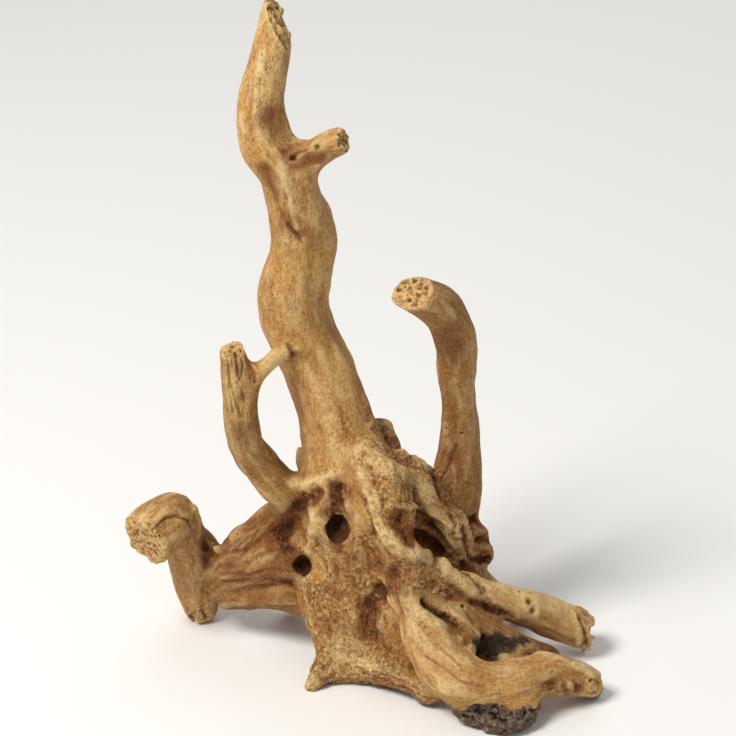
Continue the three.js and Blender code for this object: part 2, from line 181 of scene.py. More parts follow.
# %% The limbs' routes
TO_MIDDLE = np.array([2.2, -10.9, 0])
LIMBS = {
    "hub": [[-8, 8, 92, 24], [0, 8, 72, 26], [5, 6, 48, 26], [4, -6, 10, 14]],
    "trunk": [
        [-8, 6, 99, 24], [-14, 12, 125, 20], [-27, 20, 166, 17.6], [-38, 20, 205, 17.2], [-33, 15, 229, 15.4],
        [-39, 5, 271, 13.4], [-50, 2, 292, 12.6], [-52, 4, 306, 11.4], [-49, 8, 325, 9.8], [-44, 16, 354, 7],
    ],
    "stub": [[-37, 2, 274, 9.7], [-28, -3, 284, 8.2], [-18, -7, 292, 7], [-4, -11, 300, 6.4]],
    "stub_rib": [[-33, -6, 280, 5.8], [-31, -4, 267, 6.3], [-27, 6, 238, 6.9]],
    "twig": [
        [-41, 6, 96, 10.4], [-52, 3, 112, 9.8], [-61, -1, 127, 9], [-64, -5, 145, 8.6], [-64, -6, 163, 8.6],
        [-68, -3, 188, 7],
    ],
    "twig_fork": [[-60, -6, 158, 5], [-55, -6, 170, 4.6], [-47, -2, 177, 4.4], [-36, 4, 180, 4.2]],
    "hook": [
        [44, 24, 77, 13], [46, 27, 93, 13], [47, 30, 130, 9.8], [45, 22, 170, 10.2], [42, 14, 188, 10.8],
        [36, 5, 203, 10.2], [26, -4, 213, 9.2], [11, -14, 220, 8],
    ],
    "arm_top": [[-26, 8, 92, 10.6], [-56, 18, 68, 8.9], [-79, 34, 39, 8]],
    "arm_mid": [[-20, 8, 60, 14], [-41, 14, 55, 12], [-79, 34, 32, 8.6]],
    "arm_low": [[-17, 6, 32, 13], [-36, 12, 33, 9], [-76, 32, 22, 7]],
    "stump": [
        [-90, 46, 6, 9.8], [-95, 44, 37, 11.6], [-98, 40, 53, 11.8], [-101, 35, 65, 13], [-106, 26, 71, 14.4],
        [-119, 11, 63, 14.6],
    ],
    "plate": [[-22, 0, 46, 12], [-19, -8, 26, 11.4], [-16, -14, 9, 9.4]],
    "spur_root": [[-17, -14, 12, 8.3], [-24, -20, 6, 6.4], [-30, -27, 1, 4.6]],
    "front_rim": [[-16, -13, 7, 7.3], [19, -28, 12, 9.2], [34, -42, 10, 8.6]],
    "ridge_a": [[2, -6, 125, 8.1], [15, -22, 97, 9.1], [17, -26, 79, 9.1], [19, -30, 61, 8.6]],
    "ridge_b": [[14, 2, 114, 9.2], [29, 0, 101, 8.7], [41, 0, 88, 7.7], [47, 2, 72, 7.2]],
    "ridge_c": [[19, -24, 75, 7.6], [44, -18, 59, 7.7], [55, -14, 49, 7.2]],
    "root_front": [
        [16, -28, 60, 8.6], [31, -44, 37, 12.1], [42, -53, 25, 13.6], [59, -58, 20, 12.6],
        [77, -52, 21, 11.6], [93, -43, 19, 11], [118, -33, 5, 6.8],
    ],
    "root_upper": [[42, -16, 57, 7.7], [69, -8, 42, 9], [100, 5, 22, 10.4], [124, 14, 10, 10.6]],
    "root_thin": [[43, -20, 48, 6.1], [70, -20, 28, 5.9], [97, -9, 9, 4.9]],
    "root_stub": [[33, -26, 50, 6.1], [54, -39, 34, 6.8]],
    "rear_right": [[46, 20, 50, 10.5], [58, 26, 33, 9], [80, 40, 10, 7.5], [90, 47, 5, 7]],
    "rear_root": [[6, 30, 45, 18], [2, 50, 26, 13], [-2, 70, 13, 10], [-4, 88, 6, 8]],
    "rear_rib": [[-20, 30, 100, 9], [-12, 36, 74, 10], [-2, 42, 50, 10]],
    "rear_knee": [[-16, 22, 50, 14], [-30, 36, 28, 10], [-42, 50, 10, 8]],
    "bark": [[48, -58, 8, 6.4], [70, -65, 7, 9.2], [81, -61, 11, 7]],
}
routes = {name: np.array(stations, dtype=float) for name, stations in LIMBS.items()}
for route in routes.values():
    route[:, :3] += TO_MIDDLE
    route *= MM
print("limbs:", len(routes))


def limb_gap(name):
    """How far each point of the skin is from one limb's own round surface."""
    best = np.full(len(skin.points), np.inf)
    for start, end in zip(routes[name], routes[name][1:]):
        run = end[:3] - start[:3]
        t = np.clip((skin.points - start[:3]) @ run / (run @ run), 0, 1)
        off_axis = np.linalg.norm(skin.points - start[:3] - t[:, None] * run, axis=1)
        best = np.minimum(best, off_axis - start[3] - t * (end[3] - start[3]))
    return best


# %% [markdown]
# The solid's facets go by smoothing: again and again each point moves to the mean of its neighbours. That
# would also close the two holes and round the torn ends, so near those the points are moved far less.

# %% Smooth limbs, crisp holes and ends
ENDS = {  # where it is, which way it faces, its reach, how deep it is torn
    "trunk_top": ((-39, 14, 347), (0.82, -0.25, 0.5), 13, 2.6),
    "stub_end": ((-9, -10, 297), (0.88, -0.2, 0.42), 9, 3.6),
    "twig_end": ((-68, -4, 184), (-0.1, -0.25, 0.96), 9, 1.6),
    "hook_end": ((22, -7, 216), (-0.33, -0.64, 0.69), 14, 1.1),
    "stump_face": ((-115, 12, 65), (-0.6, -0.74, -0.28), 18, 1.5),
    "root_end": ((118, 11, 13), (0.97, 0.2, -0.1), 14, 4.6),
    "root_stub_end": ((55, -40, 33), (0.75, -0.52, -0.4), 8, 1.4),
    "front_root_tip": ((120, -31, 5), (0.9, 0.3, -0.2), 10, 3.4),
    "stump_foot": ((-90, 46, 2), (-0.2, 0.1, -1.0), 12, 1.0),
    "spur_tip": ((-32, -29, 2), (-0.7, -0.6, -0.3), 8, 2.2),
    "rear_root_tip": ((-4, 95, 4), (0, 1, -0.2), 12, 4.4),
    "rear_right_tip": ((96, 50, 4), (0.8, 0.6, -0.2), 11, 4.4),
    "knee_tip": ((-46, 56, 6), (-0.6, 0.8, -0.2), 11, 4.4),
}
HOLES = {  # the mouth, the way in, the reach kept crisp, the half width, the floor's depth below the lip
    "oval_hole": ((-16, -19, 90), (0.05, 0.93, -0.36), 12, 9, 7),
    "round_hole": ((-34, -2, 59), (0.15, 0.93, -0.34), 9, 6, 8),
}
SMOOTHING = 34  # rounds
LIGHT_SMOOTHING = 5
SHRINKAGE = 0.35 * MM  # what the smoothing takes off a limb
END_CRISPNESS = 0.85  # against 1 at a hole


def in_frame(x, y, z):
    """A place that was measured on the limbs' routes, in the solid's own frame."""
    return (np.array((x, y, z)) + TO_MIDDLE) * MM


def all_round(centre, reach):
    """1 around a place, falling steeply to 0 beyond its reach."""
    return np.exp(-((np.linalg.norm(skin.points - centre, axis=1) / reach) ** 4))


crisp = np.zeros(len(skin.points))
for mouth, _, reach, _, _ in HOLES.values():
    crisp = np.maximum(crisp, all_round(in_frame(*mouth), reach * MM))
for at, _, reach, _ in ENDS.values():
    crisp = np.maximum(crisp, END_CRISPNESS * all_round(in_frame(*at), reach * MM))
lightly = skin.mean(skin.points, LIGHT_SMOOTHING)
fully = skin.mean(lightly, SMOOTHING - LIGHT_SMOOTHING)
skin.points = fully
fully = fully + SHRINKAGE * skin.normals()
skin.points = fully + crisp[:, None] * (lightly - fully)
print("crisp points:", int((crisp > 0.5).sum()))

# %% [markdown]
# Dust and chewed wood fill a beetle's hole, so its floor lies only about a centimetre in and still catches
# light. The bore is squeezed to that depth: the further in a point lies, the more it moves back towards
# the mouth.

# %% Floors of the two holes
DEEPEST_BORE = 27 * MM
LIP = 2 * MM  # the first stretch of a hole, which keeps its depth
BORE_SHARE = 0.72  # the bore's own radius, in half widths
in_hole = np.zeros(len(skin.points))
for mouth, way_in, _, half_width, floor_depth in HOLES.values():
    way_in = np.array(way_in) / np.linalg.norm(way_in)
    arm = skin.points - in_frame(*mouth)
    depth = arm @ way_in
    beside = np.linalg.norm(arm - depth[:, None] * way_in, axis=1)
    inside = (beside < half_width * MM) & (depth > LIP) & (depth < DEEPEST_BORE)
    squeezed = LIP + floor_depth * MM * (1 - np.exp(-(depth - LIP) / (floor_depth * MM)))
    skin.points[inside] += ((squeezed - depth)[:, None] * way_in)[inside]
    in_hole[inside & (beside < BORE_SHARE * half_width * MM)] = 1
    print("points moved in a hole:", int(inside.sum()))

# %% [markdown]
# Weathered wood is rough at every size. This noise is a sum of soft random lattices, and the pimples are
# the cells around scattered seeds. Both are worked out from a point's place, so they run through the
# whole piece.

# %% Noise in space
LATTICE_PRIMES = np.array((374761393, 668265263, 2246822519), dtype=np.uint32)
MIXERS = ((0, 1274126177), (15, 2246822519), (13, 3266489917))  # bits to shift by, and an odd factor
EDGE_WOBBLE = 0.32


def scatter(cell, seed):
    """A fixed random number from 0 to 1 for each lattice cell, by mixing the bits of its place."""
    along_axes = cell.astype(np.int64).astype(np.uint32) * LATTICE_PRIMES
    mixed = along_axes[..., 0] + along_axes[..., 1] + along_axes[..., 2] + np.uint32(seed * 97 + 13)
    for shift, factor in MIXERS:
        mixed = (mixed ^ (mixed >> np.uint32(shift)) if shift else mixed) * np.uint32(factor)
    return (mixed ^ (mixed >> np.uint32(16))).astype(np.float64) / 2**32


def cloud(size, octaves, seed):
    """Soft noise from about -1 to 1 at each point of the skin, with lumps of a size in millimetres."""
    out = np.zeros(len(skin.points))
    for octave in range(octaves):
        spot = skin.points / (size * MM / 2**octave) + 31.7 * octave
        cell = np.floor(spot)
        part = spot - cell
        part = part * part * (3 - 2 * part)
        for corner in np.ndindex(2, 2, 2):
            share = np.prod(np.where(corner, part, 1 - part), axis=1)
            out += share * (2 * scatter(cell + corner, seed + octave) - 1) / 2**octave
    return out


def cells(size, seed):
    """The distance to the nearest scattered seed, in seed spacings, and that seed's own random number."""
    spot = skin.points / (size * MM)
    cell = np.floor(spot)
    nearest = np.full(len(spot), np.inf)
    own = np.zeros(len(spot))
    for step in np.ndindex(3, 3, 3):
        there = cell + np.array(step) - 1
        seed_at = there + np.stack([scatter(there, seed + k) for k in range(3)], axis=1)
        gap = np.linalg.norm(spot - seed_at, axis=1)
        own = np.where(gap < nearest, scatter(there, seed + 3), own)
        nearest = np.minimum(nearest, gap)
    return nearest, own


def ramp(values, low, high):
    """0 below low, 1 above high, and a soft step between them."""
    t = np.clip((values - low) / (high - low), 0, 1)
    return t * t * (3 - 2 * t)


wobble = 1 + EDGE_WOBBLE * cloud(7, 2, 9)
print("edges of marks move in and out by", np.round([wobble.min(), wobble.max()], 2))

# %% [markdown]
# Some marks are known only from the photograph, by the pixel that they are seen at. A ray from the camera
# through that pixel finds the place on the wood, and from there on the mark belongs to the wood, whatever
# the view. A route through a few pixels makes a stroke, and the noise above keeps its edges from looking
# drawn.

# %% From a pixel to a place on the wood
surface = BVHTree.FromPolygons(skin.points.tolist(), skin.quads.tolist())
eye = camera.matrix_world.translation
LONGEST_STEP = 5 * MM  # a longer one would jump from a limb to what is seen behind it
FADED = 3  # so many reaches away, nothing is left of a mark


def place(pixel):
    """The point of the wood that the photograph shows at a pixel, or None."""
    across = (pixel[0] - FRAME_PIXELS / 2) * MM_PER_PIXEL * MM
    down = (pixel[1] - FRAME_PIXELS / 2) * MM_PER_PIXEL * MM
    ray = Vector((across, 0, 0)) - down * view_up - CAMERA_DISTANCE * view_back
    hit = surface.ray_cast(eye, ray.normalized())[0]
    return np.array(hit) if hit else None


def places(pixels):
    return [spot for spot in map(place, pixels) if spot is not None]


def route_through(pixels, spacing=3):
    """The short straight stretches of a route on the wood that is drawn through pixels."""
    stops = []
    for (x0, y0), (x1, y1) in zip(pixels, pixels[1:]):
        steps = max(1, round(math.hypot(x1 - x0, y1 - y0) / spacing))
        stops += places([(x0 + (x1 - x0) * i / steps, y0 + (y1 - y0) * i / steps) for i in range(steps + 1)])
    return [(a, b) for a, b in zip(stops, stops[1:]) if np.linalg.norm(b - a) < LONGEST_STEP]


def near(stretches, reach):
    """1 on any of the stretches, falling to 0 within two or three reaches of them."""
    out = np.zeros(len(skin.points))
    for start, end in stretches:
        index = np.ones(len(out), dtype=bool)
        for axis in range(3):
            low, high = sorted((start[axis], end[axis]))
            index &= skin.points[:, axis] > low - FADED * reach
            index &= skin.points[:, axis] < high + FADED * reach
        index = np.flatnonzero(index)
        run = end - start
        arm = skin.points[index] - start
        t = np.clip(arm @ run / max(run @ run, TINY), 0, 1)
        gap = np.linalg.norm(arm - t[:, None] * run, axis=1) * wobble[index]
        out[index] = np.maximum(out[index], np.exp(-((gap / reach) ** 2)))
    return out


def near_spots(spots, reach):
    return near([(spot, spot) for spot in spots], reach)


# %% [markdown]
# The broad relief of the root crown: pale worn ridges stand up between red-brown hollows where rot has
# eaten the soft wood. They are drawn as strokes through the photograph's pixels, each with its half width
# and its height in millimetres, and carved straight into the skin.

# %% Ridges, hollows and grooves
RIDGES = {
    "trunk_to_right": ([(362, 450), (385, 466), (401, 473), (416, 483), (428, 496), (436, 508)], 4.6, 2.8),
    "right_crest": ([(436, 508), (448, 521), (457, 534)], 3.4, 1.8),
    "hollow_brow": ([(432, 505), (416, 506), (402, 509), (394, 515)], 2.0, 1.6),
    "crown_crest": (
        [(364, 476), (371, 492), (376, 508), (380, 524), (389, 540), (402, 549), (416, 554), (431, 559),
         (442, 566), (453, 575), (463, 586), (472, 593)], 3.8, 3.4,
    ),
    "front_root_crest": ([(406, 594), (416, 609), (430, 619), (448, 628), (462, 642), (472, 655)], 4.0, 2.4),
    "front_root_hump": ([(505, 658), (526, 648), (555, 657), (576, 665), (600, 676)], 3.4, 1.0),
    "knob": ([(293, 482), (306, 485), (320, 480), (332, 477)], 3.4, 2.6),
    "twig_foot_knob": ([(292, 480), (293, 482)], 3.0, 1.6),
    "hole_left_lumps": ([(309, 505), (316, 520), (314, 534), (308, 550)], 3.2, 2.2),
    "hole_right_lip": ([(357, 512), (360, 526), (357, 540), (350, 552)], 4.2, 0.9),
    "plate_rim": ([(338, 655), (362, 664), (385, 669), (410, 684)], 3.4, 1.2),
    "trunk_stripe": ([(262, 55), (257, 95), (254, 120)], 2.4, 0.8),
    "elbow_point": ([(243, 116), (242, 123), (246, 130)], 2.8, 1.5),
    "stub_rib": ([(280, 158), (285, 172), (289, 190), (293, 208), (297, 226)], 3.2, 2.2),
    "stub_brow": ([(276, 152), (290, 146), (306, 138), (320, 131)], 2.6, 1.2),
    "root_upper_crest": ([(480, 588), (505, 586), (530, 592), (560, 602), (585, 614)], 3.0, 0.8),
    "root_end_collar": ([(574, 614), (577, 628), (578, 642)], 1.9, 1.4),
    "arm_shoulder": ([(232, 538), (250, 522), (268, 506)], 3.4, 1.2),
    "arm_low_strand": ([(222, 606), (250, 602), (276, 603)], 3.2, 1.2),
    "stump_brow": ([(158, 520), (166, 512), (176, 510), (190, 516)], 2.4, 0.9),
    "stump_corner": ([(194, 508), (198, 520), (198, 534)], 2.6, 1.6),
    "stump_collar": ([(206, 542), (212, 546), (219, 550)], 1.8, 2.6),
    "stump_collar_low": ([(208, 554), (213, 560)], 1.5, 1.6),
    "spur_lump_a": ([(312, 675), (313, 678)], 1.8, 1.6),
    "spur_lump_b": ([(319, 668), (321, 670)], 1.6, 1.3),
    "spur_lump_c": ([(306, 687), (307, 689)], 1.4, 1.3),
    "tip_lump_a": ([(558, 686), (560, 689)], 2.2, 2.6),
    "tip_lump_b": ([(570, 686), (572, 689)], 2.0, 2.4),
    "tip_lump_c": ([(589, 689), (592, 690)], 1.8, 1.8),
    "tip_lump_d": ([(573, 665), (577, 667)], 2.0, 2.0),
    "tip_lump_e": ([(588, 673), (591, 675)], 1.8, 1.8),
    "fin_lump_a": ([(414, 459), (418, 463)], 2.8, 3.0),
    "fin_lump_b": ([(424, 467), (429, 470)], 2.6, 2.4),
    "fin_lump_c": ([(402, 452), (405, 455)], 2.6, 2.2),
    "fin_lump_d": ([(388, 425), (391, 432)], 2.4, 1.8),
    "burl_lump_a": ([(474, 529), (480, 531), (484, 533)], 3.0, 3.0),
    "burl_lump_b": ([(480, 546), (486, 547), (488, 549)], 3.0, 3.0),
    "fold_a": ([(424, 528), (438, 540), (447, 552)], 2.0, 1.4),
    "fold_b": ([(436, 524), (448, 536), (456, 548)], 1.8, 1.2),
}
HOLLOWS = {
    "over_the_hole": ([(337, 490), (336, 500), (336, 512), (336, 524)], 4.2, 5.0),
    "valley": ([(318, 494), (303, 503), (291, 517), (281, 536), (284, 549)], 4.4, 3.4),
    "red_hollow": ([(391, 574), (384, 590), (373, 606), (368, 618), (372, 634)], 5.2, 3.4),
    "between_crests": ([(399, 519), (404, 530), (412, 539)], 4.4, 6.4),
    "between_crests_low": ([(414, 532), (426, 542), (438, 551)], 3.8, 3.4),
    "behind_front_root": ([(426, 604), (440, 614), (456, 624)], 3.6, 4.0),
    "right_crease": ([(464, 530), (467, 545), (470, 556)], 2.4, 2.6),
    "rear_basin": ([(462, 566), (474, 580), (484, 590)], 3.6, 2.4),
    "behind_thin_root": ([(470, 600), (490, 607), (510, 617)], 2.4, 2.0),
    "beside_stub_rib": ([(264, 172), (270, 190), (277, 208), (285, 224), (296, 238)], 3.4, 1.7),
    "elbow_pit": ([(266, 124), (276, 136), (284, 146)], 3.6, 1.2),
    "under_the_hump": ([(552, 684), (566, 690), (578, 688)], 3.4, 1.6),
    "root_edge_notch": ([(576, 692), (577, 686)], 1.6, 2.6),
    "root_edge_notch_b": ([(552, 690), (551, 685)], 1.8, 2.0),
    "foot_notch_a": ([(190, 617), (192, 624)], 1.3, 1.8),
    "foot_notch_b": ([(202, 611), (206, 618)], 1.3, 1.8),
    "spur_notch": ([(303, 684), (309, 684)], 1.1, 1.6),
    "hook_foot_hollow": ([(431, 472), (438, 482), (440, 494)], 2.6, 2.2),
    "burl_notch": ([(480, 517), (474, 519), (466, 522)], 1.7, 3.0),
    "bark_cavity": ([(494, 718), (503, 722)], 2.8, 3.2),
    "burl_waist": ([(489, 540), (482, 540), (474, 542)], 1.0, 1.8),
    "burl_foot": ([(490, 559), (482, 560), (472, 558)], 1.6, 2.4),
}
GROOVES = {
    "stub_crack": ([(290, 160), (300, 152), (312, 148)], 0.9, 1.1),
    "valley_crease": ([(287, 226), (296, 236), (302, 243)], 1.0, 1.3),
    "fork_root": ([(251, 364), (254, 372), (256, 382)], 0.8, 1.0),
    "fork_tip": ([(288, 344), (291, 350), (294, 356)], 1.1, 1.7),
    "arm_furrow_a": ([(226, 553), (246, 550), (258, 541), (272, 534)], 1.5, 1.0),
    "arm_furrow_b": ([(220, 566), (240, 567), (256, 557), (276, 550)], 1.5, 1.1),
    "arm_furrow_c": ([(221, 575), (236, 572), (249, 576), (268, 570), (288, 572)], 1.2, 0.8),
    "arm_furrow_d": ([(223, 582), (245, 582), (268, 580), (290, 583)], 1.4, 1.1),
    "twig_crack_a": ([(234, 349), (237, 362), (238, 376)], 0.7, 1.3),
    "twig_crack_b": ([(227, 356), (229, 372), (230, 390), (233, 412)], 0.6, 1.0),
    "twig_crack_c": ([(242, 354), (243, 366), (240, 380)], 0.6, 0.9),
    "twig_crack_d": ([(232, 386), (235, 400), (240, 416)], 0.6, 0.8),
    "twig_crack_e": ([(237, 382), (242, 392), (244, 402)], 0.6, 0.7),
    "twig_crack_f": ([(230, 352), (232, 366)], 0.6, 0.9),
    "stump_arc": ([(158, 526), (166, 518), (176, 516), (188, 521), (193, 531), (188, 542)], 1.0, 1.0),
    "hook_foot": ([(456, 446), (452, 458), (445, 472), (441, 482)], 0.9, 1.1),
    "hook_foot_fine": ([(444, 452), (438, 462), (434, 470)], 0.7, 0.7),
    "eye": ([(452, 516), (455, 524), (453, 532)], 1.2, 1.8),
    "front_flow": ([(414, 640), (424, 655), (444, 668), (462, 682), (484, 686)], 0.7, 0.5),
    "front_flow_high": ([(436, 644), (450, 656), (462, 668)], 0.6, 0.5),
    "burl_crease": ([(466, 544), (476, 540), (484, 534), (490, 532)], 0.9, 1.2),
    "root_end_split": ([(580, 618), (584, 630), (586, 644)], 1.0, 1.6),
}
FUNNEL_SHARE = 0.62  # width of the dent around a hole's mouth, as a share of the hole's crisp reach
FUNNEL_DEPTH = 2.6 * MM


def stroke(marks):
    """The greatest height of a set of strokes at each point of the skin, in metres."""
    height = np.zeros(len(skin.points))
    for pixels, reach, depth in marks.values():
        height = np.maximum(height, depth * MM * near(route_through(pixels), reach * MM))
    return height


normals = skin.normals()
ridge_height = stroke(RIDGES) * (1 + 0.35 * cloud(8, 2, 15) + 0.25 * cloud(4, 2, 16))
hollow_depth = stroke(HOLLOWS)
for mouth, _, reach, _, _ in HOLES.values():
    funnel = near_spots([in_frame(*mouth)], FUNNEL_SHARE * reach * MM)
    hollow_depth = np.maximum(hollow_depth, FUNNEL_DEPTH * funnel)
groove_depth = stroke(GROOVES) * np.clip(0.75 + 0.5 * cloud(5, 2, 51), 0.1, 1.2)
broad = skin.mean(ridge_height - hollow_depth, 2)
skin.points = skin.points + broad[:, None] * normals
normals = skin.normals()
print("deepest hollow, mm:", round(float(hollow_depth.max() / MM), 1))

# %% [markdown]
# A knot is where a small branch once grew. The photograph shows the ones below, each with its pixel, the
# radius of its eye and how deep the eye is. Pimples are knots that never broke through: a small mound
# with a pin hole.

# %% Knots and pimples
KNOTS = {
    "stub_knot": ((317, 147), 1.3, 2.2),
    "stub_crotch": ((294, 158), 1.4, 2.2),
    "root_knot_high": ((529, 602), 1.7, 2.2),
    "root_knot_low": ((533, 611), 1.9, 3.0),
    "root_bump": ((519, 592), 1.0, 1.0),
    "front_root_knot": ((590, 680), 1.3, 1.8),
    "root_end_ring": ((582, 643), 1.3, 1.4),
    "hook_knot_a": ((460, 346), 0.8, 0.9),
    "hook_knot_b": ((456, 352), 0.9, 1.0),
    "hook_foot_knot_a": ((446, 428), 1.0, 1.6),
    "hook_foot_knot_b": ((462, 433), 0.9, 1.5),
    "rear_pit": ((472, 577), 2.2, 3.0),
    "rear_pit_low": ((478, 596), 1.4, 1.8),
    "thin_root_knot": ((462, 607), 1.2, 1.6),
    "hollow_knob": ((440, 591), 1.1, 1.0),
    "crown_eye": ((461, 606), 1.1, 1.2),
}
PIMPLES = [
    (293, 482), (316, 520), (314, 534), (409, 553), (386, 572), (390, 580), (364, 596), (337, 611),
    (350, 609), (392, 648), (314, 593), (316, 669), (400, 562), (374, 619), (373, 543), (309, 505),
    (440, 565), (427, 560), (352, 655), (300, 548), (322, 553), (330, 575), (345, 640), (405, 596),
    (470, 660), (497, 603), (372, 664),
]
PIMPLE_RADIUS = 1.7 * MM
PIN_RADIUS = 0.7 * MM
knots = {name: (place(pixel), radius * MM, depth * MM) for name, (pixel, radius, depth) in KNOTS.items()}
knots = {name: knot for name, knot in knots.items() if knot[0] is not None}
pimple_tops = near_spots(places(PIMPLES), PIMPLE_RADIUS)
pin_holes = near_spots(places(PIMPLES), PIN_RADIUS)
print("knots on the wood:", len(knots), "pimples:", len(places(PIMPLES)))

# %% [markdown]
# Each stretch of a limb votes for its own direction in the wood around it, and a knot votes for a ring
# around itself, which bends the grain as a real knot does. Where limbs meet, the votes are averaged, so
# the grain swings over from one to the other.

# %% Which way the grain runs
GRAIN_REACH = 3 * MM
FARTHEST_VOTER = 30 * MM
KNOT_RINGS = 3.2  # how far a knot bends the grain, in its own radii
RING_VOTES = 2
BLENDING = 20  # rounds
gaps = {name: limb_gap(name) for name in routes}
votes = np.zeros((len(skin.points), 3, 3), dtype=np.float32)
for name, route in routes.items():
    weight = np.exp(-np.clip(gaps[name], 0, FARTHEST_VOTER) / GRAIN_REACH)
    middle_gap = np.full(len(skin.points), np.inf)
    heading = np.zeros_like(skin.points)
    for start, end in zip(route[:, :3], route[1:, :3]):
        run = end - start
        gap = np.linalg.norm(skin.points - (start + end) / 2, axis=1) / np.linalg.norm(run)
        nearer = gap < middle_gap
        middle_gap[nearer] = gap[nearer]
        heading[nearer] = run / np.linalg.norm(run)
    votes += weight[:, None, None] * heading[:, :, None] * heading[:, None, :]
for spot, radius, _ in knots.values():
    arm = skin.points - spot
    ring = unit(np.cross(normals, arm))
    weight = RING_VOTES * np.exp(-((np.linalg.norm(arm, axis=1) / (KNOT_RINGS * radius)) ** 2))
    votes += weight[:, None, None] * ring[:, :, None] * ring[:, None, :]
upper = np.triu_indices(3)
blended = skin.mean(votes[:, upper[0], upper[1]], BLENDING)
votes[:, upper[0], upper[1]] = blended
votes[:, upper[1], upper[0]] = blended
flat = np.eye(3) - normals[:, :, None] * normals[:, None, :]
grain = np.linalg.eigh(flat @ votes @ flat)[1][:, :, 2]
print("grain found at", len(grain), "points")

# %% [markdown]
# Streaks come from noise that is smeared along the grain: each point takes mostly from the neighbours
# that lie ahead of it and behind it. A texture stretched along one axis would run straight on where the
# wood bends, and this follows every limb and flows round the knots. Three widths are made, from single
# fibres to strands.

# %% Streaks along the grain
GRAIN_SEED = 7
STRICTNESS = 10  # the higher, the less a point takes from beside the grain
SIDEWAYS = 1e-4  # the least that it takes
BLURS = {"fibre": (0, 24), "streak": (5, 80), "strand": (16, 110)}  # rounds all round, then along the grain
CRACK_WIDTH = 0.28  # in spreads of the strands' heights
rng = np.random.default_rng(GRAIN_SEED)


def even(values):
    """Values with a mean of 0 and a spread of 1, cut off at 3 spreads."""
    return np.clip((values - values.mean()) / values.std(), -3, 3)


ahead = unit(skin.points[skin.there] - skin.points[skin.here])
along = (np.abs((ahead * grain[skin.here]).sum(axis=1)) ** STRICTNESS + SIDEWAYS).astype(np.float32)
speckle = rng.normal(size=(len(skin.points), len(BLURS))).astype(np.float32)
smeared = {}
for row, (name, (blur, smear)) in zip(speckle.T, BLURS.items()):
    smeared[name] = even(skin.mean(skin.mean(row, blur), smear, along))
fibre, streak, strand = smeared.values()
crack = ramp(CRACK_WIDTH - np.abs(strand), 0, CRACK_WIDTH)
print("share of the skin in cracks between strands:", round(float((crack > 0.5).mean()), 2))

# %% [markdown]
# Where the wood is worn says what it looks like. Grit is the sandblasted floor of rot: the crown, the
# lumps behind the trunk and the torn ends. Limbs stay smooth, and the thick arm is furrowed. The masks
# made here run from 0 to 1 over the skin, and steer both the carving and the colours.

# %% Where the wood is gritty, torn, furrowed or still barked
ARM = ("arm_top", "arm_mid", "arm_low")
SMOOTH_LIMBS = (
    "trunk", "stub", "twig", "hook", *ARM, "stump", "root_front", "root_upper", "root_thin",
    "rear_right", "rear_root",
)
CROWN = ("hub", "plate", "spur_root", "front_rim", "ridge_a", "ridge_b", "ridge_c", "rear_rib", "rear_knee")


def least_gap(names):
    return np.minimum.reduce([gaps[name] for name in names])


def share_of(names, reach=3):
    """1 on the named limbs and 0 a few millimetres away from them."""
    return ramp(-least_gap(names), -reach * MM, 0)


torn = np.zeros(len(skin.points))
torn_by = np.zeros_like(skin.points)
for at, facing, reach, depth in ENDS.values():
    facing = np.array(facing) / np.linalg.norm(facing)
    arm = skin.points - in_frame(*at)
    inside = ramp(-np.linalg.norm(arm, axis=1), -1.25 * reach * MM, -reach * MM)
    mask = inside * ramp(arm @ facing, (-1.5 - 0.9 * depth) * MM, -0.6 * MM)
    torn = np.maximum(torn, mask)
    torn_by += (mask * depth * MM)[:, None] * facing

crown = ramp(least_gap(SMOOTH_LIMBS) - least_gap(CROWN), -2.5 * MM, 4 * MM)
FIN_SPOTS = [(375, 425), (385, 432), (400, 446), (415, 460), (426, 468), (436, 474)]
REAR_SPOTS = [(468, 562), (480, 540), (488, 550), (474, 530), (480, 575)]
ROOT_END_SPOTS = [(586, 618), (590, 632), (586, 644), (600, 684), (596, 690), (566, 690), (556, 692)]
RAGGED_SPOTS = [
    (208, 546), (214, 552), (208, 560), (190, 616), (200, 612), (313, 674), (308, 684), (320, 668),
]
GRIT_BEHIND = [(-16, 30, 80, 22), (14, 36, 70, 24), (30, 36, 60, 16), (0, 44, 40, 18), (44, 20, 60, 14)]
behind = np.zeros(len(skin.points))
for *spot, reach in GRIT_BEHIND:
    behind = np.maximum(behind, near_spots([in_frame(*spot)], reach * MM))
fins = near_spots(places(FIN_SPOTS), 8 * MM)
rear = near_spots(places(REAR_SPOTS), 8 * MM)
ragged = near_spots(places(ROOT_END_SPOTS + RAGGED_SPOTS), 4 * MM)
rough_spots = np.maximum.reduce([behind, fins, rear, ragged])
low_down = ramp(-skin.points[:, 2], -150 * MM, -130 * MM)
grit = np.maximum.reduce([0.75 * crown, rough_spots, ramp(hollow_depth, 0.4 * MM, 2.0 * MM) * low_down, torn])
grit *= 1 - 0.7 * ramp(ridge_height, 0.5 * MM, 1.8 * MM)
grit = np.clip(grit + 0.3 * cloud(12, 2, 3) * (0.3 + crown) + 0.1, 0, 1)

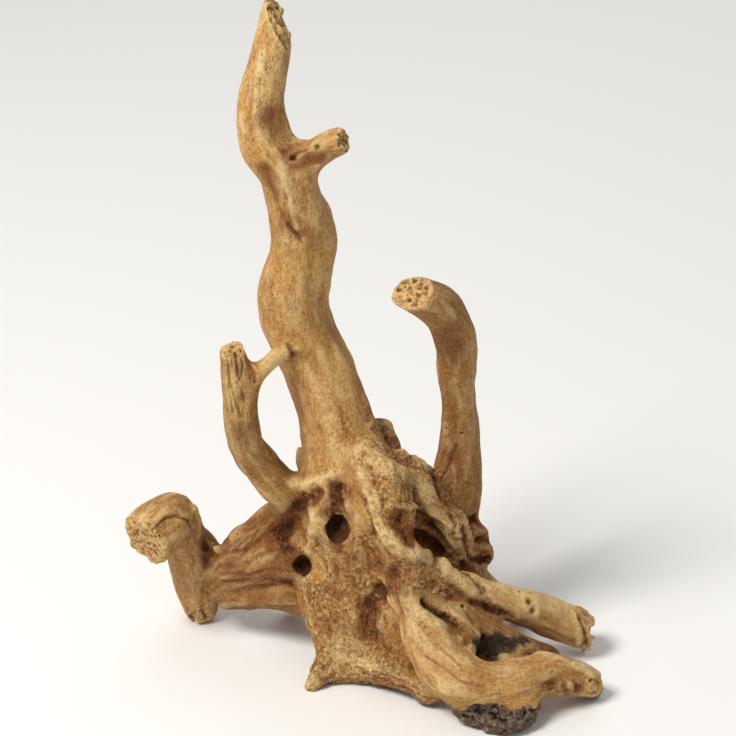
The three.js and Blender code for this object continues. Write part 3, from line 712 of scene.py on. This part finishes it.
BARK_MIDDLE = 64  # where along x its edge is highest
BARK_HEIGHT = 16.5  # how high it reaches there
BARK_FALL = 0.012  # how fast its edge drops to either side
RIM_HEIGHT = 4.0  # of the bark left along the plate's lower edge
RAGGEDNESS = 2.6
x, y, z = (skin.points / MM - TO_MIDDLE).T
bark_edge = BARK_HEIGHT - BARK_FALL * (x - BARK_MIDDLE) ** 2 + RAGGEDNESS * cloud(9, 3, 5)
bark = ramp(bark_edge - z, -0.8, 0.8) * ramp(-y, 55, 58.5) * ramp(x, 34, 40) * ramp(-x, -98, -90)
rim_edge = RIM_HEIGHT + RAGGEDNESS * cloud(8, 3, 6)
rim = ramp(rim_edge - z, -0.8, 0.8) * ramp(-y, 4, 14) * ramp(x, -14, 0)
# These spots are painted near black in the bark's colours: a patch below the thin root and the floor of the
# bark cavity.
DARK_SPOTS = [(480, 648), (488, 653), (496, 650), (505, 648), (513, 643), (522, 640), (484, 640), (496, 640)]
SMALL_DARK_SPOTS = [(476, 640), (477, 646), (476, 653), (494, 719), (499, 721), (504, 723)]
black = np.maximum(near_spots(places(DARK_SPOTS), 4.5 * MM), near_spots(places(SMALL_DARK_SPOTS), 2.6 * MM))
bark = np.maximum(bark, 0.9 * rim)
black = ramp(black + 0.25 * cloud(3, 3, 8), 0.36, 0.5)
furrowed = np.maximum(share_of(ARM) * (1 - crown), 0.4 * share_of(("twig",)))
print("gritty and barked shares of the skin:", np.round([(grit > 0.5).mean(), (bark > 0.5).mean()], 3))

# %% [markdown]
# Now the fine relief. Strands and streaks raise the limbs by a few tenths of a millimetre, with cracks
# between them. Grit gets mounds and pores, and the bark is ridged and cracked. Each line adds one kind of
# mark to the lift, which is how far a point will move out of the wood, and the factors behind MM are
# millimetres.

# %% Carving
PIMPLE_SPACING = 5.2
SAND_SPACING = 2.6
SPECK_SPACING = 7.5
TORN_PIT_SPACING = 4.6
BARK_PLATE = 6.0
lift = np.zeros(len(skin.points))
clean = 1 - np.maximum(grit, bark)
lift += MM * (0.14 + 0.14 * clean + 0.3 * furrowed) * strand * (1 - 0.6 * bark)
lift += MM * (0.11 + 0.14 * furrowed) * streak
lift += MM * (0.08 + 0.06 * furrowed + 0.05 * grit) * fibre
crack_here = crack * np.clip(0.05 + 0.3 * furrowed + 0.4 * cloud(18, 2, 13), 0, 1) * (1 - 0.7 * torn)
lift -= MM * (0.25 + 0.2 * furrowed) * crack_here
lift += MM * (0.35 + 0.55 * crown) * cloud(14, 2, 11)
lift += MM * (0.10 + 0.5 * grit) * cloud(6.5, 2, 17)

pimple, pimple_own = cells(PIMPLE_SPACING, 21)
mound = ramp(-pimple, -0.62, -0.1) * ramp(pimple_own, 0.25, 0.8)
lift += MM * grit * (0.85 * mound - 0.15)
pore = ramp(-pimple, -0.17, -0.08) * (pimple_own > 0.5)
lift -= MM * 0.9 * pore * grit
sand_grain, _ = cells(SAND_SPACING, 25)
lift += MM * grit * 0.36 * (ramp(-sand_grain, -0.7, -0.15) - 0.5)
lift += MM * grit * 0.3 * cloud(2.2, 2, 31)

speck, speck_own = cells(SPECK_SPACING, 41)
speck = ramp(-speck, -0.1, -0.04) * (speck_own > 0.5)
lift -= MM * 0.7 * speck * (1 - bark)
lift += MM * (0.9 * pimple_tops - 1.3 * pin_holes)
lift -= groove_depth

for spot, radius, depth in knots.values():
    gap = np.linalg.norm(skin.points - spot, axis=1) * wobble / radius
    lift += 0.4 * depth * np.exp(-((gap / 2.8) ** 2)) - 1.3 * depth * np.exp(-(gap**2) / 0.7)

eaten, eaten_own = cells(TORN_PIT_SPACING, 51)
lift -= MM * 1.6 * torn * ramp(-eaten, -0.48, -0.1) * (eaten_own > 0.6)

plates, _ = cells(BARK_PLATE, 61)
bark_relief = 1.3 * cloud(7, 3, 62) + 1.1 * np.abs(cloud(5, 2, 63)) - 1.2 * ramp(plates, 0.5, 0.75)
lift += MM * bark * (bark_relief - 0.3)
print("fine relief, mm:", round(float(lift.min() / MM), 2), "to", round(float(lift.max() / MM), 2))

# %% [markdown]
# A torn end breaks along its fibres, so it is eaten in along the limb, deeper here than there. The bites
# only go inwards. The lift moves the skin in the same step, and what would stand out of the solid's own
# box is brought back to it.

# %% Torn ends
bite = np.clip(0.42 + 0.7 * cloud(5.5, 2, 71), 0, 1.3) + 0.45 * np.clip(0.3 + cloud(2.4, 2, 72), 0, 1)
skin.points = skin.points + lift[:, None] * normals - bite[:, None] * torn_by
skin.points[:, 2] = np.maximum(skin.points[:, 2], 0)
for axis in range(3):
    skin.points[:, axis] = np.clip(skin.points[:, axis], cad_box[0][axis], cad_box[1][axis])
print("torn points:", int((torn > 0.5).sum()))

# %% [markdown]
# Colour follows wear: dirt and tannin stay in pits and hollows, and blown sand bleaches what stands up.
# Pits and hollows are also darkened as painted shade, downward faces and holes get painted shade, and a
# few spots get painted light. The gap between a point and the mean of the wood around it tells which is
# which, once close up and once at a distance.

# %% What the colours need to know
CLOSE_UP = 5  # rounds
WIDE = 110
normals = skin.normals()
close_up = ((skin.mean(skin.points, CLOSE_UP) - skin.points) * normals).sum(axis=1)
wide = ((skin.mean(skin.points, WIDE) - skin.points) * normals).sum(axis=1)
# Pits are darkened below, partly for dirt and partly as painted shade.
pit_dirt_and_shade = ramp(close_up, 0.03 * MM, 0.26 * MM)
worn = ramp(-close_up, 0.0 * MM, 0.2 * MM)
# Broad recesses turn red-brown, partly the wood's own colour, and are darkened further as painted shade.
recess_tint_and_shade = ramp(wide, 0.1 * MM, 2.0 * MM)
crest_wear_and_light = ramp(-wide, 0.6 * MM, 2.4 * MM)
RED_SPOTS = {
    "elbow": ([(268, 122), (277, 130), (285, 140), (272, 134), (288, 148)], 7, 0.55),
    "beside_stub_rib": ([(264, 178), (275, 202), (287, 224), (299, 236), (310, 238)], 7, 0.5),
    # At the fork's tip: partly its dark broken end, partly painted shadow where it meets the trunk.
    "fork_tip": ([(291, 346), (294, 353)], 2.4, 1.0),
    "twig_end": ([(232, 362), (237, 372)], 5, 0.35),
    "stub_root": ([(298, 165), (308, 160), (318, 158)], 4, 0.7),
    "knob_valley": ([(330, 498), (341, 495), (303, 505), (290, 518), (282, 540), (270, 548)], 7, 1.0),
    "round_the_oval_hole": ([(336, 504), (328, 515), (346, 515), (337, 548)], 5, 1.0),
    "crown_front": ([(345, 575), (360, 590), (340, 600), (350, 560), (385, 640), (345, 625)], 10, 0.4),
    "over_the_hole": ([(337, 486), (336, 496), (335, 506)], 6, 0.9),
    "red_floor": ([(388, 580), (380, 598), (372, 612), (370, 635), (394, 590)], 8, 1.0),
    "between_crests": ([(402, 521), (411, 530), (420, 540), (430, 547)], 6, 1.0),
    "hook_foot": ([(436, 480), (446, 496), (440, 488), (452, 500)], 6, 0.8),
    "hook_body": ([(458, 350), (460, 420), (455, 460), (450, 330)], 9, 0.42),
    "front_root_patch": ([(554, 684), (560, 690), (568, 692), (576, 690)], 5, 1.0),
    "stub_strand": ([(440, 615), (455, 630), (468, 642), (430, 608), (462, 628), (474, 640)], 5, 0.9),
    "thin_root_tip": ([(552, 652), (545, 645)], 6, 0.7),
    "stump_collar": ([(206, 545), (214, 552), (208, 560), (216, 548)], 4.4, 1.0),
    "arm_end": ([(218, 570), (222, 582), (218, 594)], 4, 0.5),
    "arm_root": ([(276, 552), (288, 548), (292, 560)], 6, 0.7),
    "arm_strands": ([(228, 572), (242, 572), (256, 574), (270, 574), (284, 578)], 7, 0.5),
}
red = ramp(hollow_depth, 0.5 * MM, 2.6 * MM)
for pixels, reach, strength in RED_SPOTS.values():
    red = np.maximum(red, strength * near_spots(places(pixels), reach * MM))
red = np.maximum.reduce([red, 0.4 * behind, 0.1 * fins, 0.4 * rear, 0.9 * recess_tint_and_shade, 0.5 * crack_here])
# Painted light: around these spots, mostly on top of the upper root, the wood is painted paler, less red and
# less dull.
PAINTED_LIGHT_SPOTS = [
    (500, 588), (518, 590), (536, 597), (552, 603), (566, 608), (484, 584), (340, 652), (362, 660),
]
painted_light = near_spots(places(PAINTED_LIGHT_SPOTS), 8 * MM)
crest_wear_and_light = np.maximum.reduce([crest_wear_and_light, painted_light, 0.8 * ramp(ridge_height, 0.5 * MM, 2 * MM)])
red = red * (1 - 0.6 * painted_light)
red = np.clip(red + 0.35 * cloud(11, 3, 81) * (red > 0.05) + 0.3 * ramp(cloud(26, 3, 82), 0.35, 1), 0, 1)
# Painted shade: faces that look downwards are painted darker.
underside_shade = ramp(-normals[:, 2], 0.35, 0.9)
# A duller brown on some limbs and lumps: partly their own tone, partly painted shade on the hook and on the
# lumps behind the trunk, which lie in shade.
DULL_AND_SHADED_LIMBS = {
    "hook": 0.65, "arm_top": 1.0, "arm_mid": 1.0, "arm_low": 1.0, "twig": 0.6, "root_thin": 0.7, "stump": 0.3,
    "stub": 0.25,
}
dull_tone_and_shade = np.maximum.reduce([0.8 * behind, 0.2 * fins, 0.6 * rear, 0.35 * crown])
for name, amount in DULL_AND_SHADED_LIMBS.items():
    dull_tone_and_shade = np.maximum(dull_tone_and_shade, amount * share_of((name,), 5))
dull_tone_and_shade = np.clip(skin.mean(dull_tone_and_shade, 12) + 0.25 * cloud(20, 2, 91), 0, 1) * (1 - 0.8 * torn) * (1 - 0.8 * painted_light)
# Painted shade: the two holes, the pin holes and the knot eyes are painted dark.
hole_shade = np.maximum(0.6 * pin_holes, in_hole)
for mouth, _, reach, _, _ in HOLES.values():
    hole_shade = np.maximum(hole_shade, 0.9 * near_spots([in_frame(*mouth)], 0.5 * reach * MM))
for spot, radius, _ in knots.values():
    hole_shade = np.maximum(hole_shade, 0.7 * near_spots([spot], 0.9 * radius))
marks = {
    "pit_dirt_and_shade": pit_dirt_and_shade, "worn": worn, "recess_tint_and_shade": recess_tint_and_shade, "crest_wear_and_light": crest_wear_and_light, "red": red, "grit": grit, "bark": bark,
    "torn": torn, "underside_shade": underside_shade, "dull_tone_and_shade": dull_tone_and_shade, "black": black, "hole_shade": ramp(hole_shade, 0.25, 0.75),
    "groove": np.clip(groove_depth / MM + 0.8 * crack_here, 0, 1),
}
for name, heights in smeared.items():
    marks[name] = 0.5 + heights / 6
print({name: round(float(values.mean()), 2) for name, values in marks.items()})

# %% [markdown]
# The carved net has far more points than its smooth stretches need. The Decimate modifier joins them
# there and keeps them where the relief is, and it carries the masks along. The grain's direction is
# stored too, as the share that each of nine fixed ways has in it, because a texture can be stretched
# along a fixed way only.

# %% The finished mesh
MOST_TRIANGLES = 196000
WAYS = [(1, 0, 0), (0, 1, 0), (0, 0, 1), (1, 0, 1), (1, 0, -1), (0, 1, 1), (0, 1, -1), (1, 1, 0), (1, -1, 0)]
PICKINESS = 24  # the higher, the more the nearest way takes for itself
wood.data.vertices.foreach_set("co", skin.points.ravel())
for name, values in marks.items():
    layer = wood.data.attributes.new(name, "FLOAT", "POINT")
    layer.data.foreach_set("value", values.astype(np.float32))
ways = unit(np.array(WAYS, dtype=float))
follows = np.abs(grain @ ways.T) ** PICKINESS
follows /= follows.sum(axis=1)[:, None]
for group in range(0, len(WAYS), 3):
    layer = wood.data.attributes.new(f"ways_{group // 3}", "FLOAT_VECTOR", "POINT")
    layer.data.foreach_set("vector", follows[:, group:group + 3].astype(np.float32).ravel())
wood.data.update()
share = min(1, MOST_TRIANGLES / (2 * len(skin.quads)))
wood.data = applied(wood, "DECIMATE", ratio=share, use_collapse_triangulate=True)
wood.data.shade_smooth()
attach(wood, "root")
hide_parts("mopani_wood")
kept = [layer.name for layer in wood.data.attributes if layer.name in marks]
print("triangles:", len(wood.data.polygons), "marks kept:", len(kept), "of", len(marks))


# %% [markdown]
# Materials are written as sums. A Socket stands for one output in the node tree, and its operators add
# the Math nodes, so a mask reads as it would on paper. Colours are mixed by their own method, because a
# Math node turns them grey.

# %% Shader sums
class Socket:
    def __init__(self, tree, output):
        self.tree, self.output = tree, output

    def math(self, operation, *others):
        return node(self.tree, "ShaderNodeMath", {"operation": operation}, [self, *others])

    def __add__(self, other):
        return self.math("ADD", other)

    def __sub__(self, other):
        return self.math("SUBTRACT", other)

    def __mul__(self, other):
        return self.math("MULTIPLY", other)

    def __rsub__(self, other):
        return node(self.tree, "ShaderNodeMath", {"operation": "SUBTRACT"}, [other, self])

    __radd__ = __add__
    __rmul__ = __mul__

    def most(self, other):
        return self.math("MAXIMUM", other)

    def least(self, other):
        return self.math("MINIMUM", other)

    def step(self, low, high):
        """0 below low, 1 above high, and a soft step between."""
        settings = {"interpolation_type": "SMOOTHSTEP"}
        inputs = {"Value": self, "From Min": low, "From Max": high}
        return node(self.tree, "ShaderNodeMapRange", settings, inputs)

    def mix(self, low, high):
        """A colour that goes from low to high as this value goes from 0 to 1."""
        settings = {"data_type": "RGBA", "clamp_factor": True}
        return node(self.tree, "ShaderNodeMix", settings, {"Factor": self, 6: low, 7: high}, output=2)


def node(tree, kind, settings=None, inputs=None, output=0):
    """Adds a node: its settings first, then the values or links of its sockets."""
    made = tree.nodes.new(kind)
    for name, value in (settings or {}).items():
        setattr(made, name, value)
    pairs = enumerate(inputs) if isinstance(inputs, list) else (inputs or {}).items()
    for name, value in pairs:
        if isinstance(value, Socket):
            tree.links.new(value.output, made.inputs[name])
        else:
            made.inputs[name].default_value = value
    return Socket(tree, made.outputs[output])


def srgb(r, g, b):
    """A colour as a screen shows it, from 0 to 255, as the light values that a shader takes."""
    light = [c / 255 / 12.92 if c <= 10 else ((c / 255 + 0.055) / 1.055) ** 2.4 for c in (r, g, b)]
    return (*light, 1)


# %% [markdown]
# The wood's finish. Tan and honey wash over the limbs in soft patches, streaks and fibres vary them along
# the grain, worn edges bleach to straw, and recesses go red-brown and then nearly black: the red-brown is
# partly the wood's own colour and partly painted shade, and the near black is painted shade. A duller brown
# on some limbs is partly their own tone and partly painted shade, the straw also lays painted light on a few
# spots, and undersides and holes get painted shade. Pores too small for the mesh are dots in the colour and
# the bump. Fine hairs of grain are noise that is stretched along nine ways, each counted as far as the grain
# follows it. The coats go on one after another, each as thickly as its masks say.

# %% Weathered wood
TAN = srgb(190, 142, 86)
HONEY = srgb(192, 146, 76)
STRAW = srgb(230, 200, 142)
SPLINTER = srgb(222, 184, 124)
ROSE = srgb(168, 108, 64)
# The duller brown, partly the limbs' own tone and partly painted shade.
DULL_AND_SHADE_BROWN = srgb(110, 67, 25)
HAIR_BROWN = srgb(128, 78, 40)
RED_BROWN = srgb(118, 64, 30)
WIRE_BROWN = srgb(92, 52, 28)
DARK_RED = srgb(62, 30, 14)
# The dark brown of painted shade in holes.
HOLE_SHADE_BROWN = srgb(74, 41, 24)
BARK = srgb(84, 67, 56)
BARK_PALE = srgb(164, 142, 118)
BARK_DARK = srgb(34, 27, 22)
SHINE = 0.15
BUMP_STRENGTH = 0.9
BUMP_DEPTH = 0.7 * MM


def start_material(name):
    """A material, its node tree and the one shader in it."""
    material = bpy.data.materials.new(name)
    material.use_nodes = True
    tree = material.node_tree
    tree.nodes.clear()
    shader = tree.nodes.new("ShaderNodeBsdfPrincipled")
    finish = tree.nodes.new("ShaderNodeOutputMaterial")
    tree.links.new(shader.outputs["BSDF"], finish.inputs["Surface"])
    return material, tree, shader


def mark(tree, name):
    """One of the masks that the wood carries."""
    return node(tree, "ShaderNodeAttribute", {"attribute_name": name}, output=2)


def noise(tree, where, per_metre, detail=3.0, roughness=0.55):
    inputs = {"Vector": where, "Scale": per_metre, "Detail": detail, "Roughness": roughness}
    return node(tree, "ShaderNodeTexNoise", {}, inputs)


def hairs(tree, where, per_metre, stretch):
    """Noise stretched along each of the nine ways, counted where the grain follows that way."""
    total = None
    for number, way in enumerate(WAYS):
        if number % 3 == 0:
            group = node(tree, "ShaderNodeAttribute", {"attribute_name": f"ways_{number // 3}"}, output=1)
            shares = node(tree, "ShaderNodeSeparateXYZ", {}, {"Vector": group}).output.node.outputs
        lean = Vector(way).to_track_quat("Z", "Y").to_euler()
        places_in = {"Vector": where, "Rotation": lean, "Scale": (1, 1, stretch)}
        turned = node(tree, "ShaderNodeMapping", {"vector_type": "TEXTURE"}, places_in)
        part = noise(tree, turned, per_metre, 2.0) * Socket(tree, shares[number % 3])
        total = part if total is None else total + part
    return total


wood_material, tree, shader = start_material("weathered_wood")
where = node(tree, "ShaderNodeTexCoord", output=3)
streaks, fibres, strands = (mark(tree, n) for n in ("streak", "fibre", "strand"))
pits_dirt_and_shade, wear, crests_wear_and_light, dull_tones_and_shade = (mark(tree, n) for n in ("pit_dirt_and_shade", "worn", "crest_wear_and_light", "dull_tone_and_shade"))
recess_tints_and_shade, reds, grits, barks = (mark(tree, n) for n in ("recess_tint_and_shade", "red", "grit", "bark"))
torn_wood, painted_underside_shade, furrows, hole_shades = (mark(tree, n) for n in ("torn", "underside_shade", "groove", "hole_shade"))
blacks = mark(tree, "black")

patches = noise(tree, where, per_metre=34)
blush = noise(tree, where, per_metre=70, detail=5.0, roughness=0.65)
mottle = noise(tree, where, per_metre=260, detail=4.0, roughness=0.6)
sand = noise(tree, where, per_metre=900, roughness=0.75)
wires = noise(tree, where, per_metre=400, detail=2.5, roughness=0.6)
wires = 1 - ((wires - 0.5) * 9.0).math("ABSOLUTE").least(1.0)
wires = wires * noise(tree, where, per_metre=480, detail=2.0).step(0.44, 0.58)
hair = hairs(tree, where, per_metre=1500, stretch=7.0)
pore_cells = node(tree, "ShaderNodeTexVoronoi", {"feature": "F1"}, {"Vector": where, "Scale": 420.0})
pores = 1 - pore_cells.step(0.06, 0.2)
pore_here = noise(tree, where, per_metre=75, detail=2.0).step(0.5, 0.62)
pores = pores * (pore_here * 0.75 + grits * 0.5 - torn_wood).most(0.0).least(1.0)

coats = [  # how thickly a colour lies, and the colour
    (blush.step(0.46, 0.64) * 0.4 + grits * 0.25, ROSE),
    # Duller brown: partly the limbs' own tone, partly painted shade.
    (dull_tones_and_shade * 0.95, DULL_AND_SHADE_BROWN),
    (strands.step(0.5, 0.85) * (0.3 - dull_tones_and_shade * 0.25), STRAW),
    (streaks.step(0.45, 0.8) * (0.3 - dull_tones_and_shade * 0.24), STRAW),
    ((1 - streaks).step(0.45, 0.8) * 0.25, ROSE),
    (hair.step(0.53, 0.62) * (0.38 - grits * 0.15), HAIR_BROWN),
    ((1 - hair).step(0.53, 0.64) * (0.3 - grits * 0.12 - dull_tones_and_shade * 0.18), STRAW),
    ((1 - fibres).step(0.55, 0.85) * 0.3, RED_BROWN),
    # Straw on crests: the bleach of sandblasted ridges, plus painted light around the listed light spots.
    (crests_wear_and_light * (1 - reds * 0.9) * (0.7 - dull_tones_and_shade * 0.65), STRAW),
    ((reds + (mottle - 0.5) * 0.5 * reds).step(0.08, 0.88) * 0.85, RED_BROWN),
    # Near black in deep red recesses is painted shade.
    ((reds * recess_tints_and_shade).step(0.3, 0.95) * 0.8, DARK_RED),
    (wear * (0.65 - reds * 0.5 - dull_tones_and_shade * 0.46).most(0.0) * (0.5 + mottle * 0.6), STRAW),
    (furrows * 0.5, RED_BROWN),
    # Pits darkened: partly dirt, partly painted shade.
    ((pits_dirt_and_shade * (0.35 + grits * 0.05 + torn_wood * 0.35)).least(1.0), DARK_RED),
    (wires * (0.22 + grits * 0.36), WIRE_BROWN),
    (sand.step(0.52, 0.66) * (0.2 + grits * 0.15), RED_BROWN),
    ((1 - sand).step(0.54, 0.68) * (0.22 + grits * 0.2 - reds * 0.2), STRAW),
    (torn_wood * (1 - pits_dirt_and_shade) * mottle.step(0.3, 0.55) * 0.7, SPLINTER),
    (pores * 0.85, DARK_RED),
    # Painted shade: faces that look downwards are painted red-brown.
    (painted_underside_shade * 0.45, RED_BROWN),
    # Painted shade in the holes, pin holes and knot eyes.
    (hole_shades * 0.85, HOLE_SHADE_BROWN),
]
colour = patches.step(0.38, 0.62).mix(TAN, HONEY)
for thickness, paint in coats:
    colour = thickness.mix(colour, paint)
bark_colour = (mottle.step(0.46, 0.66) * 0.55 + sand.step(0.5, 0.66) * 0.45).mix(BARK, BARK_PALE)
bark_colour = pits_dirt_and_shade.most(blacks * 0.6).mix(bark_colour, BARK_DARK)
colour = barks.most(blacks).mix(colour, bark_colour)
tree.links.new(colour.output, shader.inputs["Base Color"])
dryness = (0.64 + grits * 0.2 + reds * 0.08 - wear * 0.08).least(0.95)
tree.links.new(dryness.output, shader.inputs["Roughness"])

height = fibres * 0.3 - hair * (0.7 - grits * 0.3) + sand * (0.3 + grits * 0.5 + barks * 0.8)
height = height + mottle * (0.3 + grits * 1.0 + barks * 1.6) - pores * 1.4 - wires * (0.3 + grits * 0.7)
bump = node(tree, "ShaderNodeBump", {}, {"Height": height, "Strength": BUMP_STRENGTH, "Distance": BUMP_DEPTH})
tree.links.new(bump.output, shader.inputs["Normal"])
shader.inputs["Specular IOR Level"].default_value = SHINE
wood.data.materials.clear()
wood.data.materials.append(wood_material)
print("nodes in the wood's finish:", len(tree.nodes))

# %% [markdown]
# The wood stands on a plain, nearly white floor. A large soft lamp hangs at the upper left in front, as
# in the photograph, where the right side of the trunk and the hollows are in soft shade. A weaker one
# fills from the right, and another lights the back.

# %% Floor, lamps and sky
FLOOR_HALF = 4.0
FLOOR_WHITE = (0.93, 0.93, 0.93, 1)
FLOOR_ROUGHNESS = 0.9
SKY_COLOUR = (1, 0.98, 0.95, 1)
SKY_STRENGTH = 0.38
LAMPS_AIM = Vector((0, 0, 0.15))
corners = [(-1, -1), (1, -1), (1, 1), (-1, 1)]
floor_mesh = bpy.data.meshes.new("floor")
floor_mesh.from_pydata([(x * FLOOR_HALF, y * FLOOR_HALF, 0) for x, y in corners], [], [(0, 1, 2, 3)])
floor = bpy.data.objects.new("floor", floor_mesh)
bpy.context.scene.collection.objects.link(floor)
floor_material, _, floor_shader = start_material("floor")
floor_shader.inputs["Base Color"].default_value = FLOOR_WHITE
floor_shader.inputs["Roughness"].default_value = FLOOR_ROUGHNESS
floor_mesh.materials.append(floor_material)


def lamp(name, at, side, watts, warmth=(1, 1, 1)):
    """A square soft lamp of a side in metres, which faces the wood."""
    data = bpy.data.lights.new(name, "AREA")
    data.size = side
    data.energy = watts
    data.color = warmth
    thing = bpy.data.objects.new(name, data)
    thing.location = at
    thing.rotation_euler = (LAMPS_AIM - Vector(at)).to_track_quat("-Z", "Y").to_euler()
    bpy.context.scene.collection.objects.link(thing)


lamp("key", at=(-1.0, -0.8, 1.75), side=0.7, watts=38, warmth=(1, 0.97, 0.92))
lamp("fill", at=(1.4, -0.9, 0.7), side=1.2, watts=1)
lamp("back", at=(0.3, 1.4, 1.2), side=1.2, watts=4)
sky = bpy.data.worlds.new("sky")
sky.use_nodes = True
background = sky.node_tree.nodes["Background"]
background.inputs["Color"].default_value = SKY_COLOUR
background.inputs["Strength"].default_value = SKY_STRENGTH
bpy.context.scene.world = sky
bpy.context.scene.view_settings.view_transform = "Standard"
print("lamps:", len(bpy.data.lights))
